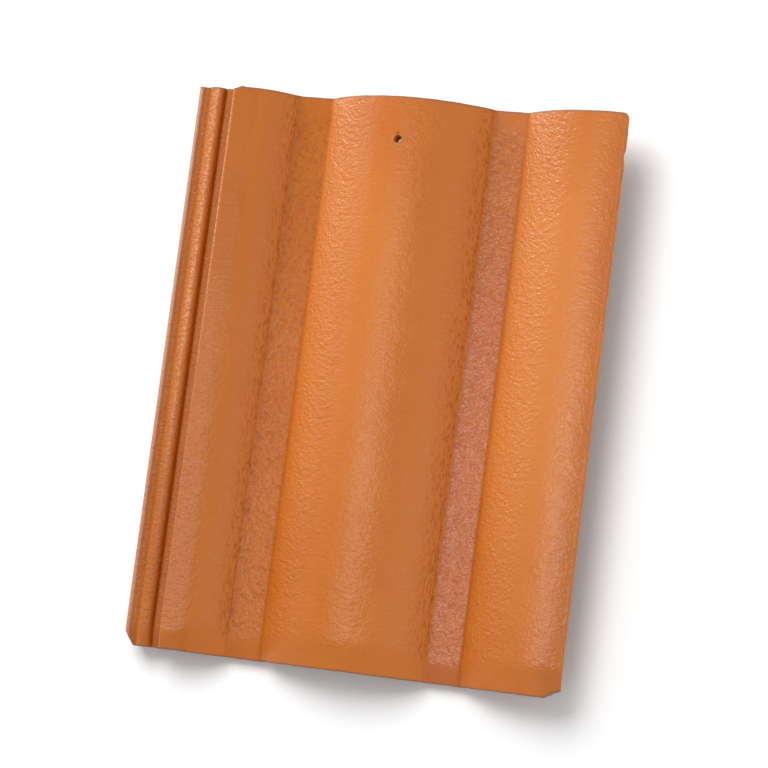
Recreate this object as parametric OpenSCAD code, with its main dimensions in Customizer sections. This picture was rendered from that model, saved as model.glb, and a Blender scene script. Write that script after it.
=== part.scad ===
// Interlocking double-roll roof tile, lying on a level floor with its weather face up.
// X runs across the tile, Y from the foot to the head, Z up. The origin is on the floor under the middle.

/* [Tile] */
// Length from the foot to the head
tile_length = 420; // [340:1:500]
// Width that one laid tile covers, from a roll to the second roll after it
cover_width = 300; // [270:1:340]
// Thickness of the tile's wall
wall = 12; // [9:0.5:14]

/* [Rolls and pans] */
// Width of the flat pan between two rolls
pan_width = 25; // [18:1:36]
// Height of a roll's crest above the pans
roll_rise = 26; // [24:0.5:32]
// How far the last roll runs past its crest to the free edge
edge_past_crest = 16; // [12:0.5:20]
// Radius of the top corner along the free edge
arris_radius = 2; // [1:0.25:3]

/* [Underlock] */
// Distance of the first roll's crest line from the underlock's outer edge
crest_from_edge = 15; // [10:0.5:18]
// Width of the underlock, from its outer edge to the step below the shoulder
underlock_width = 28; // [26:0.5:31]
// Thickness of the underlock
underlock_thickness = 10.5; // [8:0.5:12]
// Height of the underlock's floor above the pans
underlock_floor = 8; // [5:0.5:9]
// Distance of the rib's middle from the outer edge
rib_from_edge = 14.5; // [13:0.5:15]
// Radius of the rib's round top
rib_radius = 6.5; // [5:0.25:7]
// Height of the rib above the underlock's floor
rib_height = 3.6; // [2:0.2:4]
// Radius of the lip along the outer edge
lip_radius = 3; // [1.5:0.25:4]
// Height of the lip above the underlock's floor
lip_height = 0.5; // [0.2:0.1:1]

/* [Shoulder] */
// Height of the upright step beside the underlock's floor
step_height = 4; // [2:0.5:6]
// Width of the steep slope from the step up to the shoulder's flat top
shoulder_slope_width = 2.5; // [1.5:0.5:6]
// Height of the shoulder's flat top above the pans
shoulder_height = 19.5; // [17:0.5:22]
// Distance from the step to the web's inner face, along the underside
web_width = 7; // [5:0.5:9]
// Angle of the web's inner face
web_angle = 70; // [60:1:80]

/* [Overlock] */
// Clearance around the tongue in the next tile's underlock
tongue_clearance = 1.5; // [1:0.25:2]

/* [Foot nose] */
// Length of the sloping nose at the foot, along the pans
nose_length = 14; // [8:1:24]
// How far the nose drops at the foot
nose_drop = 3; // [1.5:0.25:4.5]
// How much further a roll's crest drops at the foot
nose_crest_drop = 2; // [0.5:0.25:3]
// How much narrower the nose makes a roll, at each side
nose_roll_cut = 1; // [0.5:0.25:2]

/* [Nail hole] */
// Diameter of the nail hole
nail_hole_d = 5.5; // [4:0.25:8]
// Distance of the nail hole from the head
nail_hole_from_head = 32; // [25:1:60]
// Distance of the nail hole to the left of the middle roll's crest
nail_hole_left = 2; // [0:0.5:8]

/* [Hanging nibs] */
// Distance of the nibs' hanging face from the head
hang_face_from_head = 22; // [20:1:40]
// Depth of a nib below the pan
nib_depth = 12; // [8:0.5:16]
// Width of a nib
nib_width = 30; // [20:1:34]
// Length of a nib at its root
nib_root_length = 18; // [14:0.5:20]
// Length of a nib at its tip
nib_tip_length = 12; // [8:0.5:14]

/* [Corners] */
// Cut at the underlock's foot corner, across the tile
lock_corner_x = 6; // [2:0.5:10]
// Cut at the underlock's foot corner, along the tile
lock_corner_y = 10; // [4:0.5:16]
// Notch at the free edge's foot corner, across the tile
free_notch_x = 12; // [8:0.5:16]
// Notch at the free edge's foot corner, along the tile
free_notch_y = 6; // [5:0.5:10]
// Part of the notch's width that its steep side takes
free_notch_side_x = 5.5; // [3:0.5:7]
// Part of the notch's length that its steep side takes
free_notch_side_y = 4.5; // [2:0.5:4.5]
// Radius of the free edge's head corner
head_corner_radius = 5; // [2:0.5:8]

/* [Hidden] */
$fn = 240;
clay = [0.80, 0.47, 0.24];

// Room by which a cut runs past the faces that it cuts
cut_past = 5;

// Places across the tile
tile_width = crest_from_edge + cover_width + edge_past_crest;
left_x = -tile_width / 2;
right_x = tile_width / 2;
step_x = left_x + underlock_width;
last_roll = 2;
roll_pitch = cover_width / last_roll;
roll_chord = roll_pitch - pan_width;
function crest_x(i) = left_x + crest_from_edge + i * roll_pitch;
function pan_x(i) = crest_x(i) + roll_pitch / 2;

// Heights above the underside of the pans
pan_top = wall;
crest_top = pan_top + roll_rise;
shoulder_top = pan_top + shoulder_height;
floor_top = pan_top + underlock_floor;
floor_under = floor_top - underlock_thickness;

// A roll is an arc over its chord
function arc_radius(rise, chord) = (chord * chord / 4 + rise * rise) / (2 * rise);
function arc_axis_z(rise, chord) = pan_top + rise - arc_radius(rise, chord);
roll_radius = arc_radius(roll_rise, roll_chord);
hollow_radius = roll_radius - wall;

// The free edge's top corner is tangent to the last roll
arris_across = edge_past_crest - arris_radius;
arris_up = sqrt(pow(roll_radius - arris_radius, 2) - arris_across * arris_across);
arris_x = crest_x(last_roll) + arris_across;
arris_z = arc_axis_z(roll_rise, roll_chord) + arris_up;

// Depth below the pans to which a filled section reaches
fill_depth = 2 * roll_radius;

// The tongue hangs in the next tile's underlock, between the rib and the step
rib_half_width = sqrt(rib_radius * rib_radius - pow(rib_radius - rib_height, 2));
tongue_inner_x = left_x + rib_from_edge + rib_half_width + cover_width + tongue_clearance;
tongue_outer_x = step_x + cover_width - tongue_clearance;
tongue_under = floor_top + tongue_clearance;

// The tile lies on the edge of its foot and on the tips of its nibs
hang_y = tile_length - hang_face_from_head;
rest_tilt = atan(nib_depth / hang_y);
nose_angle = atan(nose_drop / nose_length);
foot_crest = crest_top - nose_drop - nose_crest_drop;
low_y = -foot_crest * sin(rest_tilt);
high_y = tile_length * cos(rest_tilt);

// Extrudes a section, drawn across and up, along the tile from y = 0
module along_tile(length) {
    translate([0, length, 0])
        rotate([90, 0, 0])
            linear_extrude(length)
                children();
}

// Disc under a roll of the given rise and chord
module roll_disc(i, rise, chord) {
    translate([crest_x(i), arc_axis_z(rise, chord)])
        circle(arc_radius(rise, chord));
}

// Hollow disc under a roll
module hollow_disc(i) {
    translate([crest_x(i), arc_axis_z(roll_rise, roll_chord)])
        circle(hollow_radius);
}

// All that lies below the step, the slope and the flat top of the shoulder
module shoulder_fill(rise, chord) {
    intersection() {
        roll_disc(0, rise, chord);
        polygon([
            [step_x, -fill_depth],
            [step_x, floor_top + step_height],
            [step_x + shoulder_slope_width, shoulder_top],
            [pan_x(0), shoulder_top],
            [pan_x(0), -fill_depth]
        ]);
    }
}

// All that lies below the weather face, apart from the underlock
module weather_fill(rise, chord) {
    translate([step_x, -fill_depth])
        square([crest_x(last_roll) - step_x, fill_depth + pan_top]);
    shoulder_fill(rise, chord);
    roll_disc(1, rise, chord);
    roll_disc(last_roll, rise, chord);
}

// All that lies below the top of the underlock
module underlock_fill() {
    translate([left_x, -fill_depth])
        square([underlock_width + cut_past, fill_depth + floor_top + lip_height - lip_radius]);
    translate([left_x + lip_radius, -fill_depth])
        square([underlock_width - lip_radius + cut_past, fill_depth + floor_top]);
    translate([left_x + lip_radius, floor_top + lip_height - lip_radius])
        circle(lip_radius);
    translate([left_x + rib_from_edge, floor_top + rib_height - rib_radius])
        circle(rib_radius);
}

// Hollow under the underlock and the first roll
module shoulder_hollow() {
    intersection() {
        hollow_disc(0);
        polygon([
            [left_x - cut_past, -fill_depth],
            [left_x - cut_past, floor_under],
            [step_x + web_width, floor_under],
            [step_x + web_width + (crest_top - floor_under) / tan(web_angle), crest_top],
            [pan_x(0), crest_top],
            [pan_x(0), -fill_depth]
        ]);
    }
}

// Hollow under the last roll, beside and below the tongue
module tongue_hollow() {
    difference() {
        hollow_disc(last_roll);
        polygon([
            [tongue_inner_x, crest_top],
            [tongue_inner_x, tongue_under],
            [right_x + cut_past, tongue_under],
            [right_x + cut_past, crest_top]
        ]);
    }
}

// All that lies outside the free edge, which leans in below its arris to the tongue
module free_edge_cut() {
    tangent = roll_radius / (roll_radius - arris_radius);
    arris_end_x = crest_x(last_roll) + arris_across * tangent;
    arris_end_z = arc_axis_z(roll_rise, roll_chord) + arris_up * tangent;
    past_x = crest_x(last_roll) + roll_radius + cut_past;
    difference() {
        polygon([
            [arris_end_x, crest_top + cut_past],
            [arris_end_x, arris_end_z],
            [arris_x, arris_z],
            [right_x, arris_z],
            [tongue_outer_x, tongue_under],
            [tongue_outer_x, -fill_depth],
            [past_x, -fill_depth],
            [past_x, crest_top + cut_past]
        ]);
        translate([arris_x, arris_z])
            circle(arris_radius);
    }
}

// Section of the tile
module section() {
    difference() {
        union() {
            weather_fill(roll_rise, roll_chord);
            underlock_fill();
        }
        translate([left_x - cut_past, -fill_depth - cut_past])
            square([tile_width + 2 * cut_past, fill_depth + cut_past]);
        shoulder_hollow();
        hollow_disc(1);
        tongue_hollow();
        free_edge_cut();
    }
}

// Slope that brings the weather face down towards the foot
module nose_cut() {
    reach = 2 * nose_length + cut_past;
    translate([0, nose_length, pan_top])
        rotate([nose_angle, 0, 0])
            translate([0, -reach, -pan_top])
                along_tile(2 * reach)
                    difference() {
                        translate([left_x - cut_past, 0])
                            square([tile_width + 2 * cut_past, 2 * crest_top]);
                        weather_fill(roll_rise - nose_crest_drop, roll_chord - 2 * nose_roll_cut);
                        underlock_fill();
                    }
}

// Hanging nib under a pan
module nib(i) {
    mid_wall = wall / 2;
    translate([pan_x(i) - nib_width / 2, hang_y, 0])
        rotate([90, 0, 90])
            linear_extrude(nib_width)
                polygon([
                    [0, mid_wall],
                    [0, -nib_depth],
                    [nib_tip_length, -nib_depth],
                    [nib_root_length, 0],
                    [nib_root_length, mid_wall]
                ]);
}

// Slanting cut at the underlock's foot corner
module lock_corner_cut() {
    past_x = cut_past * lock_corner_x / lock_corner_y;
    past_y = cut_past * lock_corner_y / lock_corner_x;
    translate([left_x, 0, -cut_past])
        linear_extrude(crest_top + 2 * cut_past)
            polygon([
                [-cut_past, lock_corner_y + past_y],
                [lock_corner_x + past_x, -cut_past],
                [-cut_past, -cut_past]
            ]);
}

// Notch at the free edge's foot corner
module free_notch() {
    past_x = cut_past * free_notch_side_x / free_notch_side_y;
    slope = (free_notch_y - free_notch_side_y) / (free_notch_x - free_notch_side_x);
    translate([right_x - free_notch_x, 0, -cut_past])
        linear_extrude(crest_top + 2 * cut_past)
            polygon([
                [-past_x, -cut_past],
                [free_notch_side_x, free_notch_side_y],
                [free_notch_x + cut_past, free_notch_y + cut_past * slope],
                [free_notch_x + cut_past, -cut_past]
            ]);
}

// Rounds the head's corner at the free edge
module head_corner_cut() {
    translate([right_x - head_corner_radius, tile_length - head_corner_radius, -cut_past])
        linear_extrude(crest_top + 2 * cut_past)
            difference() {
                square(head_corner_radius + cut_past);
                circle(head_corner_radius);
            }
}

// Nail hole through the middle roll
module nail_hole() {
    translate([crest_x(1) - nail_hole_left, tile_length - nail_hole_from_head, 0])
        cylinder(h = crest_top + cut_past, d = nail_hole_d);
}

module roof_tile() {
    color(clay)
        translate([0, -(low_y + high_y) / 2, 0])
            rotate([rest_tilt, 0, 0])
                difference() {
                    union() {
                        along_tile(tile_length)
                            section();
                        for (i = [0:last_roll - 1])
                            nib(i);
                    }
                    nose_cut();
                    lock_corner_cut();
                    free_notch();
                    head_corner_cut();
                    nail_hole();
                }
}

roof_tile();
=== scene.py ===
import math

import bmesh
import bpy
from mathutils import Matrix, Vector, noise


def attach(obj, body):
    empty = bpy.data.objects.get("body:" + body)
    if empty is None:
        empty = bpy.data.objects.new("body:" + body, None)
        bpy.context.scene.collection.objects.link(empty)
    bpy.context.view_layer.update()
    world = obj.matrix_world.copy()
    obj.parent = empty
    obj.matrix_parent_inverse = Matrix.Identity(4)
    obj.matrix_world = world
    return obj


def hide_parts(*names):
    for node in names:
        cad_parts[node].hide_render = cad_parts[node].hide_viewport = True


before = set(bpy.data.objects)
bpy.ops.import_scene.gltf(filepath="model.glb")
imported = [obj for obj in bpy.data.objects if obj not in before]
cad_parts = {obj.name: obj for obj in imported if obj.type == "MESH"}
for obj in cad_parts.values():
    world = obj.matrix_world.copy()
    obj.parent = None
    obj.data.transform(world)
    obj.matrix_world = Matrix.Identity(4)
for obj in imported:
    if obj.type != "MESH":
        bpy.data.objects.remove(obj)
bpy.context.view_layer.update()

# Sizes in millimetres: x from the tile's middle, y from its foot, z above the underside of its pans.
LENGTH = 420.0
LEFT = -165.5
RIGHT = 165.5
WALL = 12.0

# Rolls and pans.
RISE = 26.0
CHORD = 125.0
CRESTS = (-150.5, -0.5, 149.5)
PANS = (-75.5, 74.5)
CREASE_ROUND = 1.3

# Underlock, with its places measured across from the tile's left edge.
CHANNEL_HEIGHT = 20.0
CHANNEL_DIP = 0.2
LIP_RISE = 0.7
LIP_ROUND = 0.9
LIP_FALL = 0.9
LIP_FALL_RUN = (2.6, 5.0)
RIB_ACROSS = 14.5
RIB_RADIUS = 6.5
RIB_HEIGHT = 3.6
RIB_ROUND = 0.6
VALLEY = (20.4, 1.0)
VALLEY_DEPTH = 1.1

# Step beside the underlock, the shoulder above it and the web below.
STEP = 28.0
STEP_SLACK = 0.05
STEP_HEIGHT = 4.0
STEP_ROUND = 2.0
SLOPE_WIDTH = 2.5
SHOULDER = 31.5
SHOULDER_LIFT = 0.6
SHOULDER_FALL = 0.07
SHOULDER_END = 65.0
SHOULDER_ROUND = 3.5
WEB_ACROSS = 35.0
WEB_UNDER = 9.5
WEB_ANGLE = math.radians(70)

# Free edge with its rounded arris, and the tongue below it.
ARRIS_RADIUS = 2.0
ARRIS_MIDDLE = 34.85
ARRIS_START = 0.6
TONGUE = (156.32, 161.0)
TONGUE_SLACK = 0.03
TONGUE_UNDER = 21.5

# Nose at the foot.
NOSE_LENGTH = 14.0
NOSE_DROP = 3.0
NOSE_REACH = 40.0
NOSE_NARROWING = 2.0
NOSE_ROUND = 0.9
FOOT_CREST_DROP = 5.0

# Slanting cut and notch at the foot's corners, and the head's rounded corner.
CUT_LENGTH = 10.0
CUT_WIDTH = 6.0
NOTCH_WIDTH = 12.0
NOTCH_BEND = 5.5
NOTCH_BEND_DEPTH = 4.5
NOTCH_FLAT_DEPTH = 1.5
HEAD_CORNER = 5.0

# Rounding of the weather face at the foot, and how much of it the head has.
END_ROUND = 1.1
HEAD_ROUND_SHARE = 0.7

# Small marks at the ends and the free edge, as (middle, width) and their depth.
FOOT_NICK = (106.5, 1.4)
FOOT_NICK_DEPTH = 0.9
HEAD_BURR = (37.0, 1.1)
HEAD_BURR_LENGTH = 0.7
FREE_EDGE_CHIP = (388.0, 3.0)
FREE_EDGE_CHIP_DEPTH = 1.0

# Stretch of the head that is cut back, across: start, full, fading and end.
HEAD_CUT_BACK = (28.5, 30.5, 31.0, 36.0)
HEAD_CUT_BACK_DEPTH = 1.7

# Wear along the edges, as (depth, length of its dips, seed, share left whole).
FOOT_WEAR = (0.5, 9, 1, 0)
FOOT_CHIPS = (0.3, 3, 7, 0)
HEAD_WEAR = (0.3, 5, 2, 0)
HEAD_CHIPS = (0.5, 2.2, 3, 0.35)
FREE_EDGE_WEAR = (0.5, 7, 4, 0)
FREE_EDGE_CHIPS = (0.3, 2.6, 5, 0)
FREE_EDGE_REACH = 5.0
BARE_PATCH_SEED = 6
BARE_PATCH_LENGTH = 9.0

# Hanging nibs.
NIB_DEPTH = 12.0
NIB_HALF_WIDTH = 15.0
NIB_ROOT_LENGTH = 18.0
NIB_TIP_LENGTH = 12.0
NIB_SUNK = 1.0
HANG_Y = 398.0

# Nail hole, with the rings of its rim as (radius, lift), and distances from its middle.
HOLE = (-2.5, 388.0)
HOLE_RADIUS = 2.75
HOLE_SIDES = 28
WEATHER_RINGS = ((4.6, 0.0), (3.5, 0.12), (3.0, 0.05), (HOLE_RADIUS, -0.5))
UNDERSIDE_RINGS = ((4.2, 0.0), (HOLE_RADIUS, 0.0))
HOLE_WALL_REACH = 4.0
HOLE_GAP_REACH = 5.4
HOLE_SMOOTH_REACH = 7.0
HOLE_BORDER_REACH = 12.0

# The tile lies on its foot and on the tips of its nibs.
TILT = math.atan(NIB_DEPTH / HANG_Y)
FOOT_CREST = WALL + RISE - FOOT_CREST_DROP
MIDDLE_Y = (LENGTH * math.cos(TILT) - FOOT_CREST * math.sin(TILT)) / 2
PLACE = (
    Matrix.Scale(0.001, 4)
    @ Matrix.Translation((0, -MIDDLE_Y, 0))
    @ Matrix.Rotation(TILT, 4, "X")
)

# A small mark in the coat just above the nail hole, where it lies in the scene, in metres.
MARK = tuple(PLACE @ Vector((HOLE[0] - 0.6, HOLE[1] + 4.2, WALL + RISE)))
MARK_EDGE = 0.0020
MARK_CORE = 0.0008

# Columns across the tile, as runs of (start, end, count).
SHARED_COLUMNS = (
    (0, 0.9, 4), (0.9, 2.8, 2), (2.8, 5, 4), (5, 7.4, 2), (7.4, 9.4, 4),
    (9.4, 18.2, 11), (18.2, 22, 9), (22, 27.9, 4),
    (27.9, 28, 1), (28, 29.4, 2), (29.4, 31.8, 9),
    (31.8, 39.6, 9), (39.6, 48, 5), (48, 72.3, 13), (72.3, 75, 2),
    (75, 80, 5), (80, 100, 11), (100, 105, 5), (105, 107.7, 2),
    (107.7, 222.3, 57), (222.3, 225, 2),
    (225, 230, 5), (230, 250, 11), (250, 255, 5), (255, 257.7, 2),
    (257.7, 321.77, 32), (321.77, 321.82, 1))
WEATHER_COLUMNS = ((321.82, 328.6, 4), (328.6, 331, 6))
UNDERSIDE_COLUMNS = ((321.82, TONGUE[1] - LEFT, 10),)

# Rows along the tile, as runs of (start, end, count).
ROW_RUNS = (
    (0, 0.1, 1), (0.1, 1.2, 4), (1.2, 34, 27), (34, 396, 150),
    (396, 419.1, 15), (419.1, 419.9, 3), (419.9, 420, 1))

# Unevenness of the weather face: sizes across and along, a level of the noise, and heights.
SWELL = (34, 46, 1.7)
SWELL_HEIGHT = 0.14
RIPPLE = (9, 11, 5.1)
RIPPLE_HEIGHT = 0.05
PAN_RIPPLE = 0.10
WRINKLE_RIPPLE = 0.08
BAND_SMOOTHING = 0.7
SHARP_ANGLE = math.radians(40)

# Where a kind of surface starts, is full, begins to fade and ends, across.
FIRST_PAN = (74, 80, 101, 105)
SECOND_PAN = (224, 229, 251, 255)
FIRST_WRINKLES = (64, 75, 78, 83)
SECOND_WRINKLES = (210, 225, 227, 231)
FIRST_RIGHT_FLANK = (46, 58, 76, 79)
MIDDLE_RIGHT_FLANK = (186, 204, 226, 229)
MIDDLE_LEFT_FLANK = (103, 107, 122, 142)
LAST_LEFT_FLANK = (253, 257, 275, 300)
MIDDLE_LOW_FLANK = (102.5, 104, 106, 128)
LAST_LOW_FLANK = (252.5, 254, 256, 278)
# Painted light on the lit left flanks, the middle crest and the last roll, across.
LIT_MIDDLE_FLANK = (103, 107, 118, 152)
LIT_MIDDLE_CREST = (125, 145, 160, 190)
LIT_LAST_ROLL = (253, 257, 300, 328)
SHINY_PAN = (226, 229, 251, 254)
CALM_SHOULDER = (28, 32, 56, 70)
MATT_SHOULDER = (28, 32, 50, 60)
MATT_MIDDLE_CREST = (138, 152, 176, 196)
MATT_FIRST_PAN = (72, 80, 101, 106)
# Painted shade over the underlock, the shoulder, the first roll and the pans, across.
SHADED_LIP_FOOT = (2.6, 4, 7.5, 9)
SHADED_RIB = (7.5, 9, 19, 21)
SHADED_RIB_SIDE = (7.5, 8.5, 11.5, 13.5)
SHADED_CHANNEL = (19, 20.5, 27.9, 28.1)
SHADED_SHOULDER = (29.5, 33, 42, 60)
SHADED_FIRST_ROLL = (40, 50, 62, 78)
SHADED_FIRST_PAN = (72, 80, 101, 105)
SHADED_SECOND_PAN = (224, 230, 251, 255)

# Where a kind of surface grows from nothing to full, across.
DARKER_FREE_EDGE = (308, 322)
PALE_LIP = (3.0, 1.8)
MATT_UNDERLOCK = (28.2, 27.8)
ROUGH_UNDERLOCK = (27.8, 26.5)
# Painted sheen along the shoulder, across.
SHEEN_START = (30.5, 33)
SHEEN_FADING = 5.0
SHEEN_HEAD_END = 36.0
SHEEN_FOOT_WIDENING = 8.0

# Lines along the tile, as (middle, width) across.
FIRST_RIGHT_CREASE = (76.0, 0.8)
SECOND_RIGHT_CREASE = (226.0, 0.8)
FIRST_LEFT_CREASE = (102.6, 1.3)
SECOND_LEFT_CREASE = (252.6, 1.3)
FIRST_CREASE_SHADE = (105.0, 5.0)
SECOND_CREASE_SHADE = (255.0, 5.0)
FIRST_MATT_CREASE = (102.5, 1.2)
SECOND_MATT_CREASE = (252.5, 1.2)
VALLEY_LINE = (20.3, 1.3)
LIP_FOOT_LINE = (5.6, 1.6)
RIB_FOOT_LINE = (8.2, 2.0)
RIB_CREST_LINE = (15.2, 1.7)
SHOULDER_ARRIS_LINE = (30.8, 0.9)

# Where a look grows from nothing to full, from the foot.
FOOT_BAND = (19, 12)
HEAD_BAND = (402, 408)
CREASES_DARKEN = (290, 0)
RIB_BRIGHTENS = (60, 300)
FIRST_PAN_SHADE_AND_MATT = (180, 390)
SECOND_PAN_SHADES = (250, 390)
FREE_EDGE_DARKENS = (260, 40)
FREE_EDGE_BARES = (330, 400)
PAINTED_LIGHT_GROWS = (10, 220)
PAINTED_LIGHT_FADES = (330, 410)
FLANK_SHEEN_GROWS = (150, 400)
SHOULDER_CALMS = (190, 310)
SHEEN_WIDENS = (300, 60)
SHEEN_RISES = (340, 150)
PAN_SHINE_FADES = (260, 400)
LIP_PALES = (60, 330)
SHOULDER_ARRIS_HIGHLIGHT_GROWS = (160, 320)
RIB_HIGHLIGHT_GROWS = (40, 300)

# Where the coat starts above the underside, and ends at the cut ends and the free edge.
COAT_START = (4.0, 7.0)
CUT_END = (1.5, 0.5)
BARE_RIM = (1.6, 0.5)

# Colours of the coat, with painted light, sheen, shade and highlight among them.
COAT_DEEP = (0.578, 0.140, 0.0105, 1)
COAT_LIGHT = (0.645, 0.177, 0.0165, 1)
LIGHT_SPECK = (0.72, 0.24, 0.05, 1)
DARK_SPECK = (0.42, 0.10, 0.006, 1)
# Painted light on the right flanks.
RIGHT_FLANK_LIGHT_ORANGE = (0.66, 0.198, 0.037, 1)
# Painted sheen on the low left flanks towards the head.
SHEEN_ORANGE = (0.74, 0.27, 0.10, 1)
# Painted light on the lit left flanks, the middle crest and the last roll.
LIT_ORANGE = (0.71, 0.215, 0.034, 1)
# Painted: the second pan made redder and darker under its sheen.
PAN_SHEEN_RED = (0.50, 0.090, 0.008, 1)
# Painted sheen along the shoulder.
SHOULDER_SHEEN_PINK = (0.66, 0.205, 0.085, 1)
# Painted shade along the creases and in the underlock's valleys.
CREASE_SHADE_BROWN = (0.40, 0.085, 0.003, 1)
# Painted shade over the underlock, the shoulder, the first roll and the pans.
PAINTED_SHADE_BROWN = (0.31, 0.090, 0.013, 1)
# Painted shade in the hollows of the wrinkles.
FLECK_SHADE_BROWN = (0.38, 0.084, 0.005, 1)
# Painted shade in the hollows between the pans' lumps.
GAP_SHADE_BROWN = (0.36, 0.062, 0.003, 1)
# Pale pink of the lip's outer edge.
LIP_PINK = (0.58, 0.36, 0.28, 1)
# Painted highlight on the shoulder's arris and the rib's crest.
HIGHLIGHT_PEACH = (0.86, 0.40, 0.19, 1)
MARK_BROWN = (0.27, 0.060, 0.006, 1)

# Colours of the raw clay and of the studio.
CLAY_DARK = (0.30, 0.125, 0.055, 1)
CLAY_LIGHT = (0.42, 0.18, 0.08, 1)
# Darker clay at the cut ends, partly painted shade on the end faces.
CLAY_CUT_SHADE = (0.20, 0.090, 0.050, 1)
WHITE = (1.0, 1.0, 1.0, 1)

# Patterns, in waves a metre.
MOTTLE_SCALE = 16
GLOSS_SCALE = 120
CLAY_SCALE = 220
LUMP_SCALE = 270
DIMPLE_SCALE = 330
PIMPLE_SCALE = 400
GRAIN_SCALE = 480
PEEL_SCALE = 560
HIGHLIGHT_BREAK_SCALE = 560
DARK_SPECK_SCALE = 640
LIGHT_SPECK_SCALE = 900

# How the grain and the dimples are stretched, and turned about z in radians.
GRAIN_STRETCH = (1.0, 0.42, 1.0)
GRAIN_TURN = 0.12
DIMPLE_STRETCH = (0.62, 1.0, 1.0)
DIMPLE_TURN = 0.45

# Depth of the fine relief in metres.
PEEL_DEPTH = 0.0005
PIMPLE_DEPTH = 0.0006
DIMPLE_DEPTH = 0.0010
LUMP_DEPTH = 0.0012
GRAIN_DEPTH = 0.0013

# Studio in metres, with the camera's turn in degrees and its lens in millimetres.
FLOOR_HALF_SIDE = 6.0
WORLD_STRENGTH = 0.56
CAMERA_PLACE = (0.551144, -0.274480, 1.985040)
CAMERA_TURN = (9.7760, 14.3558, 8.0433)
CAMERA_LENS = 132.435
CAMERA_SENSOR = 36.0
CAMERA_REACH = 20.0


def smooth_min(a, b, width):
    """The lower of two heights, with the corner between them rounded over that width."""
    h = max(width - abs(a - b), 0.0) / width
    return min(a, b) - h * h * width / 4


def smooth_max(a, b, width):
    """The higher of two heights, with the corner between them rounded over that width."""
    return -smooth_min(-a, -b, width)


def ramp(value, start, end):
    """From 0 at start to 1 at end, without a corner at either."""
    t = min(max((value - start) / (end - start), 0.0), 1.0)
    return t * t * (3 - 2 * t)


def span(value, start, full, fading, end):
    """1 from full to fading, and 0 before start and after end."""
    return ramp(value, start, full) * ramp(value, end, fading)


def bell(value, middle, width):
    """1 at the middle, falling towards 0 on both sides."""
    return math.exp(-((value - middle) / width) ** 2)


def wobble(seed, place, scale):
    """A gentle random number from -1 to 1 that changes along a line."""
    return noise.noise(Vector((place / scale, seed * 7.31, seed * 3.17)))


def wear(place, depth, length, seed, whole):
    """How deep an edge is worn at a place along it, in dips of about that length."""
    return depth * max(wobble(seed, place, length) - whole, 0.0)


def rounded_end(distance, radius):
    """How far a corner of that radius has dropped at that distance from the end."""
    if distance >= radius:
        return 0.0
    return radius - math.sqrt(max(radius * radius - (radius - distance) ** 2, 0.0))


def roll_radius(rise, chord):
    """Radius of a roll from its rise and its width at the pans."""
    return (chord * chord / 4 + rise * rise) / (2 * rise)


def from_crest(x):
    """Distance across from the nearest crest."""
    return x - min(CRESTS, key=lambda crest: abs(x - crest))


def rolls(x, rise, chord):
    """Height of the rolls and pans, with softened creases."""
    radius = roll_radius(rise, chord)
    arc = math.sqrt(max(radius * radius - from_crest(x) ** 2, 0.0)) - radius + rise
    return WALL + smooth_max(arc, 0.0, CREASE_ROUND)


def underlock(d):
    """Height of the underlock's lip, rib and channel at that distance across."""
    rib_start, rib_end = RIB_ACROSS - RIB_RADIUS, RIB_ACROSS + RIB_RADIUS
    rib = 0.0
    if rib_start < d < rib_end:
        arch = math.sqrt(max(RIB_RADIUS ** 2 - (d - RIB_ACROSS) ** 2, 0.0))
        rib = CHANNEL_HEIGHT + RIB_HEIGHT - RIB_RADIUS + arch
    if d < rib_start:
        fall = LIP_FALL * ramp(d, *LIP_FALL_RUN)
        beside = CHANNEL_HEIGHT + LIP_RISE - rounded_end(d, LIP_ROUND) - fall
    else:
        beside = CHANNEL_HEIGHT - CHANNEL_DIP - VALLEY_DEPTH * bell(d, *VALLEY)
    return smooth_max(rib, beside, RIB_ROUND)


def shoulder(d, height):
    """The first roll's height, cut off by the shoulder's top and by the step's slope."""
    foot = CHANNEL_HEIGHT + STEP_HEIGHT
    slope = foot + (d - STEP) * (SHOULDER - foot) / SLOPE_WIDTH
    top = SHOULDER + SHOULDER_LIFT - SHOULDER_FALL * (d - STEP - SLOPE_WIDTH)
    return smooth_min(smooth_min(height, top, SHOULDER_ROUND), slope, STEP_ROUND)


def section(x, rise=RISE, chord=CHORD):
    """Height of the weather face's section."""
    d = x - LEFT
    if d < STEP - STEP_SLACK:
        return underlock(d)
    height = rolls(x, rise, chord)
    if d < SHOULDER_END:
        height = shoulder(d, height)
    past = x - (RIGHT - ARRIS_RADIUS)
    if past > -ARRIS_START:
        arris = math.sqrt(max(ARRIS_RADIUS ** 2 - max(past, 0.0) ** 2, 0.0))
        height = min(height, ARRIS_MIDDLE + arris)
    return height


def weather(x, y):
    """Height of the weather face, with the nose that brings it down at the foot."""
    height = section(x)
    if y < NOSE_REACH:
        angle = math.atan(NOSE_DROP / NOSE_LENGTH)
        lower = section(x, RISE - NOSE_NARROWING, CHORD - NOSE_NARROWING) - WALL
        nose = WALL + lower / math.cos(angle) + (y - NOSE_LENGTH) * math.tan(angle)
        height = smooth_min(height, nose, NOSE_ROUND)
    return height


def underside(x, y=0.0):
    """Height of the underside, which is the same all along the tile."""
    if x > TONGUE[0] - TONGUE_SLACK:
        return TONGUE_UNDER
    radius = roll_radius(RISE, CHORD)
    arch = math.sqrt(max((radius - WALL) ** 2 - from_crest(x) ** 2, 0.0))
    hollow = arch - radius + RISE + WALL
    if x < PANS[0]:
        past = max(x - (LEFT + WEB_ACROSS), 0.0)
        hollow = min(hollow, WEB_UNDER + past * math.tan(WEB_ANGLE))
    return max(hollow, 0.0)


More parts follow.
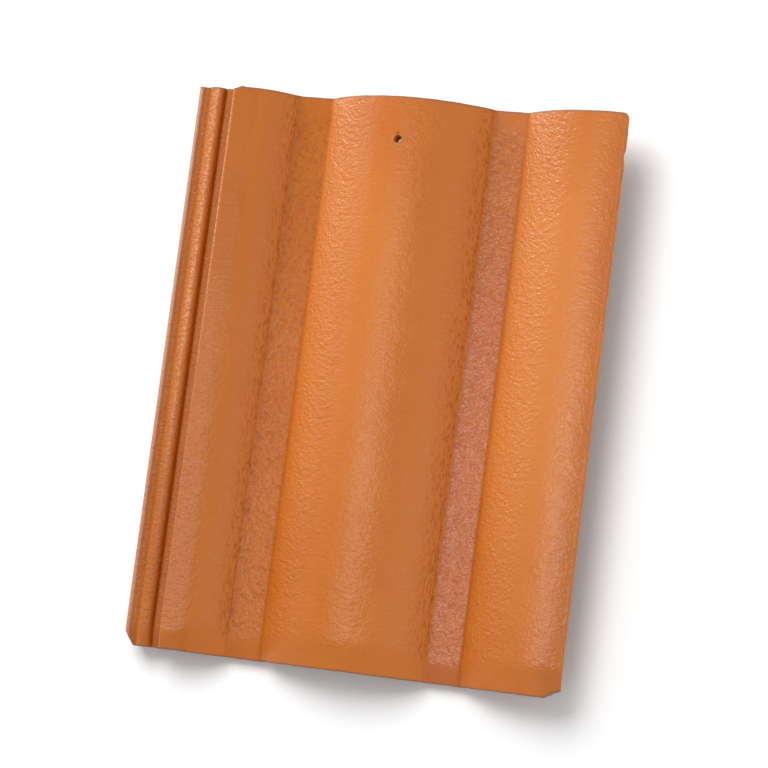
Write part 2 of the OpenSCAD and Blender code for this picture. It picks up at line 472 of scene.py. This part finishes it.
def foot_outline(x):
    """Where the foot ends, with its slanting cut, its notch, a nick and wear."""
    d, e = x - LEFT, RIGHT - x
    y = max(CUT_LENGTH * (1 - d / CUT_WIDTH), 0.0)
    if e < NOTCH_WIDTH:
        inside = NOTCH_WIDTH - e
        steep = inside * NOTCH_BEND_DEPTH / NOTCH_BEND
        flat_run = (inside - NOTCH_BEND) * NOTCH_FLAT_DEPTH / (NOTCH_WIDTH - NOTCH_BEND)
        y = max(y, min(steep, NOTCH_BEND_DEPTH + flat_run))
    nick = FOOT_NICK_DEPTH * bell(d, *FOOT_NICK)
    return y + wear(x, *FOOT_WEAR) + wear(x, *FOOT_CHIPS) + nick


def head_outline(x):
    """Where the head ends, with its rounded corner, a burr, a stretch cut back and wear."""
    d, e = x - LEFT, RIGHT - x
    y = LENGTH - rounded_end(e, HEAD_CORNER)
    y += HEAD_BURR_LENGTH * bell(d, *HEAD_BURR)
    y -= HEAD_CUT_BACK_DEPTH * span(d, *HEAD_CUT_BACK)
    return y - wear(x, *HEAD_WEAR) - wear(x, *HEAD_CHIPS)


def free_edge_wear(y):
    """How far the free edge has worn back, with one small chip near the head."""
    chip = FREE_EDGE_CHIP_DEPTH * bell(y, *FREE_EDGE_CHIP)
    return wear(y, *FREE_EDGE_WEAR) + wear(y, *FREE_EDGE_CHIPS) + chip


def spread(*runs):
    """Places from runs of (start, end, count), each run without its end, and the last end."""
    places = [a + (b - a) * i / n for a, b, n in runs for i in range(n)]
    return places + [runs[-1][1]]


ROWS = spread(*ROW_RUNS)
WEATHER_X = [LEFT + d for d in spread(*SHARED_COLUMNS, *WEATHER_COLUMNS)]
UNDERSIDE_X = [LEFT + d for d in spread(*SHARED_COLUMNS, *UNDERSIDE_COLUMNS)]


def grid(bm, xs, height, end_round):
    """A grid over the tile, from the foot to the head, lifted to that height."""
    columns, rows = len(xs) - 1, len(ROWS) - 1
    made = bmesh.ops.create_grid(bm, x_segments=columns, y_segments=rows, size=1.0)
    for vert in made["verts"]:
        x = xs[round((vert.co.x + 1) / 2 * columns)]
        along = ROWS[round((vert.co.y + 1) / 2 * rows)] / LENGTH
        low, high = foot_outline(x), head_outline(x)
        y = low + along * (high - low)
        drop = rounded_end(y - low, end_round)
        drop += rounded_end(high - y, end_round * HEAD_ROUND_SHARE)
        painted_highlight = free_edge_wear(y) * ramp(RIGHT - x, FREE_EDGE_REACH, 0)
        vert.co = (x - painted_highlight, y, height(x, y) - drop)


def near_hole(vert, reach):
    """Whether a vertex lies within that reach of the nail hole's middle, across and along."""
    return abs(vert.co.x - HOLE[0]) < reach and abs(vert.co.y - HOLE[1]) < reach


def open_hole(bm, height, rings):
    """Opens the nail hole in a face of the tile, through rings of (radius, lift)."""
    inside = [v for v in bm.verts if near_hole(v, HOLE_GAP_REACH)]
    bmesh.ops.delete(bm, geom=inside, context="VERTS")
    border = [e for e in bm.edges if e.is_boundary and near_hole(e.verts[0], HOLE_BORDER_REACH)]
    for radius, lift in rings:
        verts = bmesh.ops.create_circle(bm, segments=HOLE_SIDES, radius=radius)["verts"]
        for vert in verts:
            x, y = vert.co.x + HOLE[0], vert.co.y + HOLE[1]
            vert.co = (x, y, height(x, y) + lift)
        ring = list({e for v in verts for e in v.link_edges})
        bmesh.ops.bridge_loops(bm, edges=border + ring)
        border = ring


def add_nib(bm, pan):
    """A hanging nib under a pan, with its hanging face towards the foot."""
    made = bmesh.ops.create_cube(bm, size=1.0)
    for vert in made["verts"]:
        side, back, up = vert.co.x > 0, vert.co.y > 0, vert.co.z > 0
        length = NIB_ROOT_LENGTH if up else NIB_TIP_LENGTH
        vert.co = (
            pan + (NIB_HALF_WIDTH if side else -NIB_HALF_WIDTH),
            HANG_Y + (length if back else 0.0),
            NIB_SUNK if up else -NIB_DEPTH,
        )


def tile_shell(bm):
    """The tile's underside and weather face, joined in the nail hole and round the edges."""
    grid(bm, UNDERSIDE_X, underside, 0.0)
    open_hole(bm, underside, UNDERSIDE_RINGS)
    bmesh.ops.reverse_faces(bm, faces=bm.faces[:])
    under = bpy.data.meshes.new("underside")
    bm.to_mesh(under)
    bm.clear()
    grid(bm, WEATHER_X, weather, END_ROUND)
    open_hole(bm, weather, WEATHER_RINGS)
    bm.from_mesh(under)
    bpy.data.meshes.remove(under)
    borders = [e for e in bm.edges if e.is_boundary]
    round_hole = [e for e in borders if near_hole(e.verts[0], HOLE_WALL_REACH)]
    round_tile = [e for e in borders if not near_hole(e.verts[0], HOLE_WALL_REACH)]
    bmesh.ops.bridge_loops(bm, edges=round_hole)
    bmesh.ops.bridge_loops(bm, edges=round_tile)


def crease_shade_share(d, y):
    """Painted shade: the dark lines where rolls meet pans, and in the underlock's valleys."""
    darker = ramp(y, *CREASES_DARKEN)
    return max(
        0.50 * bell(d, *FIRST_RIGHT_CREASE),
        0.50 * bell(d, *SECOND_RIGHT_CREASE),
        (0.30 + 0.40 * darker) * bell(d, *FIRST_LEFT_CREASE),
        (0.30 + 0.50 * darker) * bell(d, *SECOND_LEFT_CREASE),
        0.25 * darker * bell(d, *FIRST_CREASE_SHADE),
        0.22 * darker * bell(d, *SECOND_CREASE_SHADE),
        bell(d, *VALLEY_LINE),
        0.50 * bell(d, *LIP_FOOT_LINE))


def painted_shade_share(d, y, shoulder_sheen):
    """Where the coat is browner and darker: painted shade in the underlock's hollows, on the rib's
    side, over the shoulder, the first roll and the pans, and darker by the free edge towards the
    foot.
    """
    return max(
        0.50 * span(d, *SHADED_LIP_FOOT),
        (0.34 - 0.20 * ramp(y, *RIB_BRIGHTENS)) * span(d, *SHADED_RIB),
        0.40 * span(d, *SHADED_RIB_SIDE),
        0.38 * span(d, *SHADED_CHANNEL),
        (0.34 - 0.14 * shoulder_sheen) * span(d, *SHADED_SHOULDER),
        0.12 * span(d, *SHADED_FIRST_ROLL),
        (0.10 + 0.18 * ramp(y, *FIRST_PAN_SHADE_AND_MATT)) * span(d, *SHADED_FIRST_PAN),
        (0.02 + 0.14 * ramp(y, *SECOND_PAN_SHADES)) * span(d, *SHADED_SECOND_PAN),
        0.22 * ramp(d, *DARKER_FREE_EDGE) * ramp(y, *FREE_EDGE_DARKENS))


def matt_share(d, y, calm, right_flank, shoulder_sheen):
    """Where the coat shines less."""
    return max(
        bell(d, *FIRST_MATT_CREASE),
        bell(d, *SECOND_MATT_CREASE),
        bell(d, *VALLEY_LINE),
        0.90 * bell(d, *RIB_FOOT_LINE),
        0.50 * calm,
        0.70 * right_flank,
        0.15 * ramp(d, *MATT_UNDERLOCK),
        0.55 * span(d, *MATT_SHOULDER) * (1 - 0.65 * shoulder_sheen),
        0.30 * span(d, *MATT_MIDDLE_CREST),
        (0.30 + 0.40 * ramp(y, *FIRST_PAN_SHADE_AND_MATT)) * span(d, *MATT_FIRST_PAN))


def painted_light_share(d, y):
    """Painted light: where the coat is made brightest, on the lit left flanks, the middle crest and
    the last roll, between the foot and the head.
    """
    across = max(
        0.70 * span(d, *LIT_MIDDLE_FLANK),
        0.60 * span(d, *LIT_MIDDLE_CREST),
        span(d, *LIT_LAST_ROLL))
    return across * (ramp(y, *PAINTED_LIGHT_GROWS) * (1 - 0.80 * ramp(y, *PAINTED_LIGHT_FADES)))


def highlight_share(d, y):
    """Painted highlight: the lighter lines on the shoulder's arris and the rib's crest."""
    arris = 0.25 + 0.75 * ramp(y, *SHOULDER_ARRIS_HIGHLIGHT_GROWS)
    return max(
        arris * bell(d, *SHOULDER_ARRIS_LINE),
        ramp(y, *RIB_HIGHLIGHT_GROWS) * bell(d, *RIB_CREST_LINE))


def cut_share(x, y):
    """The cut ends, and bare patches along the free edge."""
    from_end = min(y - foot_outline(x), head_outline(x) - y)
    patches = ramp(wobble(BARE_PATCH_SEED, y, BARE_PATCH_LENGTH), -0.25, 0.25)
    patches *= 0.40 + 0.50 * ramp(y, *FREE_EDGE_BARES)
    return max(ramp(from_end, *CUT_END), ramp(RIGHT - x, *BARE_RIM) * patches)


def shoulder_sheen_share(d, y):
    """Painted sheen: the pink stretch along the shoulder, which is wider towards the foot."""
    end = SHEEN_HEAD_END + SHEEN_FOOT_WIDENING * ramp(y, *SHEEN_WIDENS)
    return span(d, *SHEEN_START, end, end + SHEEN_FADING) * ramp(y, *SHEEN_RISES)


def zones(co):
    """How much each kind of surface a place on the tile is, from 0 to 1."""
    x, y, d = co.x, co.y, co.x - LEFT
    above = co.z - underside(min(x, TONGUE[0] - 1))
    pan = max(span(d, *FIRST_PAN), span(d, *SECOND_PAN))
    wrinkles = max(span(d, *FIRST_WRINKLES), span(d, *SECOND_WRINKLES))
    right_flank = max(span(d, *FIRST_RIGHT_FLANK), span(d, *MIDDLE_RIGHT_FLANK))
    left_flank = max(span(d, *MIDDLE_LEFT_FLANK), span(d, *LAST_LEFT_FLANK))
    low_flank = max(span(d, *MIDDLE_LOW_FLANK), span(d, *LAST_LOW_FLANK))
    smooth_band = max(ramp(y, *FOOT_BAND), ramp(y, *HEAD_BAND) * pan)
    textured = 1 - smooth_band
    calm = span(d, *CALM_SHOULDER) * ramp(y, *SHOULDER_CALMS)
    shoulder_sheen = shoulder_sheen_share(d, y)
    return {
        "face": ramp(above, *COAT_START),
        "pan": pan * textured,
        "wrinkles": wrinkles * textured,
        # Painted shade in the creases and valleys.
        "crease_shade": crease_shade_share(d, y),
        # Painted light on the right flanks.
        "right_flank_light": right_flank,
        # Painted light on the lit left flanks, the middle crest and the last roll.
        "painted_light": painted_light_share(d, y),
        # Painted sheen on the low left flanks, which also shine more.
        "flank_sheen": ramp(y, *FLANK_SHEEN_GROWS) * low_flank,
        "matt": matt_share(d, y, calm, right_flank, shoulder_sheen),
        "shiny_pan": span(d, *SHINY_PAN) * (1 - 0.75 * ramp(y, *PAN_SHINE_FADES)),
        "smooth_band": smooth_band,
        # Painted shade over the underlock, the shoulder, the first roll and the pans.
        "painted_shade": painted_shade_share(d, y, shoulder_sheen),
        # The lip's pale pink outer edge, paler towards the head.
        "lip": ramp(d, *PALE_LIP) * (0.55 + 0.40 * ramp(y, *LIP_PALES)),
        # Painted highlight on the shoulder's arris and the rib's crest.
        "painted_highlight": highlight_share(d, y),
        "calm": calm,
        "cut": cut_share(x, y),
        "left_flank": left_flank * textured,
        "underlock": ramp(d, *ROUGH_UNDERLOCK) * textured,
        # Painted sheen along the shoulder, which also has livelier relief there.
        "shoulder_sheen": shoulder_sheen * textured,
    }


def mark_zones(bm):
    """Keeps each kind of surface as an attribute of the tile, and gives their layers."""
    names = zones(Vector((0, 0, 0))).keys()
    layers = {name: bm.verts.layers.float.new(name) for name in names}
    for vert in bm.verts:
        for name, share in zones(vert.co).items():
            vert[layers[name]] = share
    return layers


def unevenness(co, across, along, level):
    """A gentle random number from -1 to 1 that changes over a face."""
    return noise.noise(Vector((co.x / across, co.y / along, level)))


def roughen(bm, layers):
    """Lifts and lowers the weather face a little, away from the nail hole."""
    for vert in bm.verts:
        if vert[layers["face"]] > 0.5 and not near_hole(vert, HOLE_SMOOTH_REACH):
            swell = SWELL_HEIGHT * unevenness(vert.co, *SWELL)
            ripple_height = RIPPLE_HEIGHT + PAN_RIPPLE * vert[layers["pan"]]
            ripple_height += WRINKLE_RIPPLE * vert[layers["wrinkles"]]
            ripple = ripple_height * unevenness(vert.co, *RIPPLE)
            vert.co.z += (swell + ripple) * (1 - BAND_SMOOTHING * vert[layers["smooth_band"]])


def shade_smooth(bm):
    """Shades the faces smoothly, apart from sharp edges."""
    for face in bm.faces:
        face.smooth = True
    for edge in bm.edges:
        if len(edge.link_faces) == 2 and edge.calc_face_angle() > SHARP_ANGLE:
            edge.smooth = False


def build_tile():
    """The whole tile as one piece, lying on its foot and its nibs."""
    bm = bmesh.new()
    tile_shell(bm)
    for pan in PANS:
        add_nib(bm, pan)
    bmesh.ops.recalc_face_normals(bm, faces=bm.faces[:])
    bm.normal_update()
    roughen(bm, mark_zones(bm))
    shade_smooth(bm)
    bm.transform(PLACE)
    mesh = bpy.data.meshes.new("tile_body")
    bm.to_mesh(mesh)
    bm.free()
    tile = bpy.data.objects.new("tile_body", mesh)
    bpy.context.scene.collection.objects.link(tile)
    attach(tile, "root")
    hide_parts("roof_tile")
    return tile


class Nodes:
    """Short calls for building a material's nodes."""

    def __init__(self, material):
        material.use_nodes = True
        self.tree = material.node_tree
        self.shader = self.tree.nodes["Principled BSDF"]

    def put(self, value, socket):
        """Links a node's output to a socket, or sets the socket to a plain value."""
        if isinstance(value, bpy.types.NodeSocket):
            self.tree.links.new(value, socket)
        else:
            socket.default_value = value

    def add(self, kind, inputs=None, **settings):
        node = self.tree.nodes.new(kind)
        for name, value in settings.items():
            setattr(node, name, value)
        for name, value in (inputs or {}).items():
            self.put(value, node.inputs[name])
        return node

    def share(self, zone):
        return self.add("ShaderNodeAttribute", attribute_name=zone).outputs["Fac"]

    def math(self, operation, a, b):
        return self.add("ShaderNodeMath", {0: a, 1: b}, operation=operation).outputs[0]

    def times(self, a, b):
        return self.math("MULTIPLY", a, b)

    def plus(self, a, b):
        return self.math("ADD", a, b)

    def larger(self, a, b):
        return self.math("MAXIMUM", a, b)

    def mix(self, factor, a, b):
        node = self.add("ShaderNodeMix", data_type="RGBA")
        for number, value in ((0, factor), (6, a), (7, b)):
            self.put(value, node.inputs[number])
        return node.outputs[2]

    def stretched(self, vector, scale, turn):
        return self.add("ShaderNodeMapping", {
            "Vector": vector, "Scale": scale, "Rotation": (0, 0, turn)}).outputs[0]

    def noise(self, vector, scale, detail=2.0, rough=0.5):
        return self.add("ShaderNodeTexNoise", {
            "Vector": vector, "Scale": scale, "Detail": detail, "Roughness": rough}).outputs["Fac"]

    def between(self, value, low, high, to_low=0.0, to_high=1.0):
        return self.add("ShaderNodeMapRange", {
            "Value": value, "From Min": low, "From Max": high,
            "To Min": to_low, "To Max": to_high}).outputs[0]

    def bump(self, height, distance, strength, normal=None):
        inputs = {"Height": height, "Distance": distance, "Strength": strength}
        if normal is not None:
            inputs["Normal"] = normal
        return self.add("ShaderNodeBump", inputs).outputs["Normal"]


def coat_colour(n, place, grain, lump):
    """The orange coat with its specks, zones of painted light, sheen and shade, flecks, painted
    highlight lines and mark.
    """
    mottle = n.between(n.noise(place, MOTTLE_SCALE, 3, 0.6), 0.3, 0.7)
    colour = n.mix(mottle, COAT_DEEP, COAT_LIGHT)
    light = n.between(n.noise(place, LIGHT_SPECK_SCALE, 1), 0.35, 0.75)
    colour = n.mix(n.times(light, 0.22), colour, LIGHT_SPECK)
    dark = n.between(n.noise(place, DARK_SPECK_SCALE, 1), 0.50, 0.66)
    colour = n.mix(n.times(dark, 0.22), colour, DARK_SPECK)

    for zone, strength, tint in (
            # Painted light on the right flanks.
            ("right_flank_light", 0.80, RIGHT_FLANK_LIGHT_ORANGE),
            # Painted sheen on the low left flanks towards the head.
            ("flank_sheen", 0.30, SHEEN_ORANGE),
            # Painted light on the lit left flanks, the middle crest and the last roll.
            ("painted_light", 1.00, LIT_ORANGE),
            # Painted: the second pan made redder and darker under its sheen.
            ("shiny_pan", 0.45, PAN_SHEEN_RED),
            # Painted sheen along the shoulder.
            ("shoulder_sheen", 0.40, SHOULDER_SHEEN_PINK)):
        colour = n.mix(n.times(n.share(zone), strength), colour, tint)

    uneven = n.between(grain, 0.38, 0.62, 0.90, 0.55)
    # Painted shade along the creases and in the underlock's valleys.
    colour = n.mix(n.times(n.share("crease_shade"), uneven), colour, CREASE_SHADE_BROWN)
    # Painted shade over the underlock, the shoulder, the first roll and the pans.
    colour = n.mix(n.share("painted_shade"), colour, PAINTED_SHADE_BROWN)
    # Painted shade in the hollows of the wrinkles.
    fleck_shade = n.between(grain, 0.49, 0.36, 0.0, 0.58)
    colour = n.mix(n.times(n.share("wrinkles"), fleck_shade), colour, FLECK_SHADE_BROWN)
    # Painted shade in the hollows between the pans' lumps.
    gap_shade = n.between(lump, 0.50, 0.36, 0.0, 0.32)
    colour = n.mix(n.times(n.share("pan"), gap_shade), colour, GAP_SHADE_BROWN)
    colour = n.mix(n.share("lip"), colour, LIP_PINK)
    # Painted highlight on the shoulder's arris and the rib's crest, broken by noise.
    broken_highlight = n.between(n.noise(place, HIGHLIGHT_BREAK_SCALE, 1), 0.40, 0.62, 0.14, 0.95)
    colour = n.mix(n.times(n.share("painted_highlight"), broken_highlight), colour, HIGHLIGHT_PEACH)

    away = n.add("ShaderNodeVectorMath", {0: place, 1: MARK}, operation="DISTANCE").outputs["Value"]
    return n.mix(n.between(away, MARK_EDGE, MARK_CORE, 0.0, 0.75), colour, MARK_BROWN)


def clay_colour(n, place, cut):
    """The raw fired clay, darker at the cut ends: the clay's own colour there, partly painted shade
    on the end faces.
    """
    raw = n.mix(n.noise(place, CLAY_SCALE, 3, 0.6), CLAY_DARK, CLAY_LIGHT)
    # Partly painted shade on the end faces, partly the cut clay's own colour.
    return n.mix(n.times(cut, 0.7), raw, CLAY_CUT_SHADE)


def coat_shine(n):
    """How strongly the coat reflects, from its matt creases to its shiny pan."""
    shine = n.between(n.share("matt"), 0, 1, 0.50, 0.06)
    shine = n.plus(shine, n.times(n.share("shiny_pan"), 0.18))
    return n.plus(shine, n.times(n.share("flank_sheen"), 0.45))


def coat_relief(n, place, grain, lump):
    """Dimples and orange peel all over, wrinkles by the creases, lumps on the pans and pimples."""
    pan, left_flank = n.share("pan"), n.share("left_flank")
    lively = n.larger(left_flank, n.larger(n.share("underlock"), n.share("shoulder_sheen")))
    amount = n.plus(n.plus(0.6, n.times(pan, 0.10)), n.times(lively, 0.7))
    still = n.larger(n.share("smooth_band"), n.share("calm"))
    amount = n.times(amount, n.between(still, 0, 1, 1.0, 0.35))

    dimple = n.noise(n.stretched(place, DIMPLE_STRETCH, DIMPLE_TURN), DIMPLE_SCALE, 1, 0.4)
    peel = n.noise(place, PEEL_SCALE, 2, 0.45)
    pimple = n.between(n.noise(place, PIMPLE_SCALE, 0), 0.58, 0.84)
    normal = n.bump(dimple, DIMPLE_DEPTH, n.times(amount, 0.6))
    normal = n.bump(peel, PEEL_DEPTH, amount, normal)
    normal = n.bump(grain, GRAIN_DEPTH, n.times(n.share("wrinkles"), 0.75), normal)
    normal = n.bump(lump, LUMP_DEPTH, n.times(pan, 0.65), normal)
    return n.bump(pimple, PIMPLE_DEPTH, n.times(left_flank, 0.45), normal)


def coat_material():
    """Semi-gloss orange coat on raw fired clay, which shows at the cut ends and below."""
    material = bpy.data.materials.new("orange_coat")
    n = Nodes(material)
    place = n.add("ShaderNodeTexCoord").outputs["Object"]
    grain = n.noise(n.stretched(place, GRAIN_STRETCH, GRAIN_TURN), GRAIN_SCALE, 2, 0.6)
    lump = n.noise(place, LUMP_SCALE)
    cut = n.share("cut")
    coated = n.times(n.share("face"), n.math("SUBTRACT", 1.0, n.times(cut, 0.8)))
    colour = n.mix(coated, clay_colour(n, place, cut), coat_colour(n, place, grain, lump))
    roughness = n.plus(
        n.between(n.noise(place, GLOSS_SCALE), 0.3, 0.7, 0.27, 0.34),
        n.between(coated, 0, 1, 0.35, 0.0))
    n.put(colour, n.shader.inputs["Base Color"])
    n.put(roughness, n.shader.inputs["Roughness"])
    n.put(coat_shine(n), n.shader.inputs["Specular IOR Level"])
    n.put(coat_relief(n, place, grain, lump), n.shader.inputs["Normal"])
    return material


def floor_material():
    """Plain white without gloss."""
    material = bpy.data.materials.new("white_floor")
    shader = Nodes(material).shader
    shader.inputs["Base Color"].default_value = WHITE
    shader.inputs["Roughness"].default_value = 1.0
    shader.inputs["Specular IOR Level"].default_value = 0.0
    return material


def build_floor():
    """A plain square floor."""
    bm = bmesh.new()
    bmesh.ops.create_grid(bm, x_segments=1, y_segments=1, size=FLOOR_HALF_SIDE)
    mesh = bpy.data.meshes.new("floor")
    bm.to_mesh(mesh)
    bm.free()
    floor = bpy.data.objects.new("floor", mesh)
    bpy.context.scene.collection.objects.link(floor)
    floor.data.materials.append(floor_material())
    return floor


def area_light(name, lit, place, aim, size, power):
    """A soft lamp that lights one object, and that every object shades."""
    data = bpy.data.lights.new(name, "AREA")
    data.shape = "RECTANGLE"
    data.size, data.size_y = size
    data.energy = power
    lamp = bpy.data.objects.new(name, data)
    bpy.context.scene.collection.objects.link(lamp)
    lamp.location = place
    direction = Vector(aim) - Vector(place)
    lamp.rotation_euler = direction.to_track_quat("-Z", "Y").to_euler()
    lamp.light_linking.receiver_collection = bpy.data.collections.new(name + "_lights")
    lamp.light_linking.receiver_collection.objects.link(lit)


def light_scene(tile, floor):
    """Four lamps for the tile, one for the floor, and a white world."""
    middle, behind_middle = (0, 0, 0.03), (0, 0.05, 0.03)
    area_light(
        "rear", tile, place=(-0.95, 1.17, 0.53), aim=behind_middle, size=(0.50, 0.50), power=12.0)
    area_light(
        "side", tile, place=(-1.20, 0.55, 0.52), aim=behind_middle, size=(0.60, 0.90), power=3.0)
    area_light(
        "overhead", tile, place=(-0.28, -0.03, 1.95), aim=middle, size=(0.30, 0.50), power=6.0)
    area_light(
        "right", tile, place=(1.49, 0.0, 1.37), aim=middle, size=(0.70, 0.70), power=5.0)
    area_light(
        "shadow", floor, place=(-0.52, 1.05, 1.85), aim=(0, 0, 0), size=(1.40, 1.40), power=37.0)
    world = bpy.data.worlds.new("studio")
    bpy.context.scene.world = world
    world.use_nodes = True
    back = world.node_tree.nodes["Background"]
    back.inputs["Color"].default_value = WHITE
    back.inputs["Strength"].default_value = WORLD_STRENGTH


def place_camera():
    """The camera, looking down on the tile from in front and from the right."""
    data = bpy.data.cameras.new("camera")
    data.sensor_width = CAMERA_SENSOR
    data.lens = CAMERA_LENS
    data.clip_end = CAMERA_REACH
    camera = bpy.data.objects.new("camera", data)
    bpy.context.scene.collection.objects.link(camera)
    camera.location = CAMERA_PLACE
    camera.rotation_euler = [math.radians(angle) for angle in CAMERA_TURN]
    bpy.context.scene.camera = camera


tile = build_tile()
tile.data.materials.append(coat_material())
floor = build_floor()
light_scene(tile, floor)
place_camera()
bpy.context.scene.view_settings.view_transform = "Standard"
bpy.context.view_layer.update()
